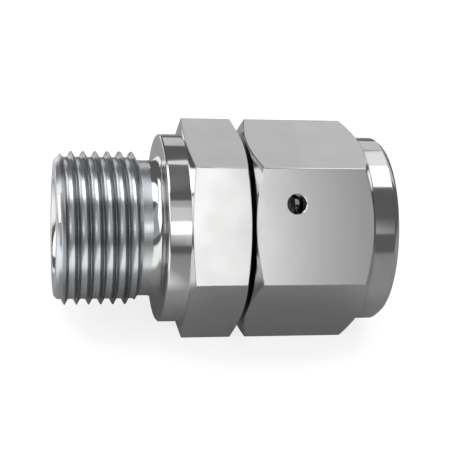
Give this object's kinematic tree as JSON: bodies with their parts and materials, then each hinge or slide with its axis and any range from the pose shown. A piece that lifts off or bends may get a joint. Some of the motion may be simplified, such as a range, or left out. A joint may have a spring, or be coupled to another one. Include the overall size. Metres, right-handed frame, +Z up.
{
  "type": "male-female union",
  "caption": "Straight steel pipe union with a male thread, a collar and spanner hexagon, and a wire-retained swivel nut with a female thread.",
  "frame": {"origin": "on the fitting's axis, at mid-length", "axes": "+X along the axis from the male end to the nut's open end, +Z up, square to the flats that it lies on"},
  "size_m": [0.058, 0.0392, 0.034],
  "materials": {
    "body_steel": "bright turned and plated",
    "nut_steel": "bright turned and plated",
    "spring_wire": "drawn"
  },
  "bodies": {
    "body": {"male_body": "body_steel", "retaining_wire": "spring_wire"},
    "nut": {"swivel_nut": "nut_steel"}
  },
  "joints": [
    {"name": "nut_swivel", "type": "hinge", "parent": "body", "child": "nut", "pos_m": [0.009, 0, 0], "axis": [1, 0, 0], "continuous": true}
  ]
}
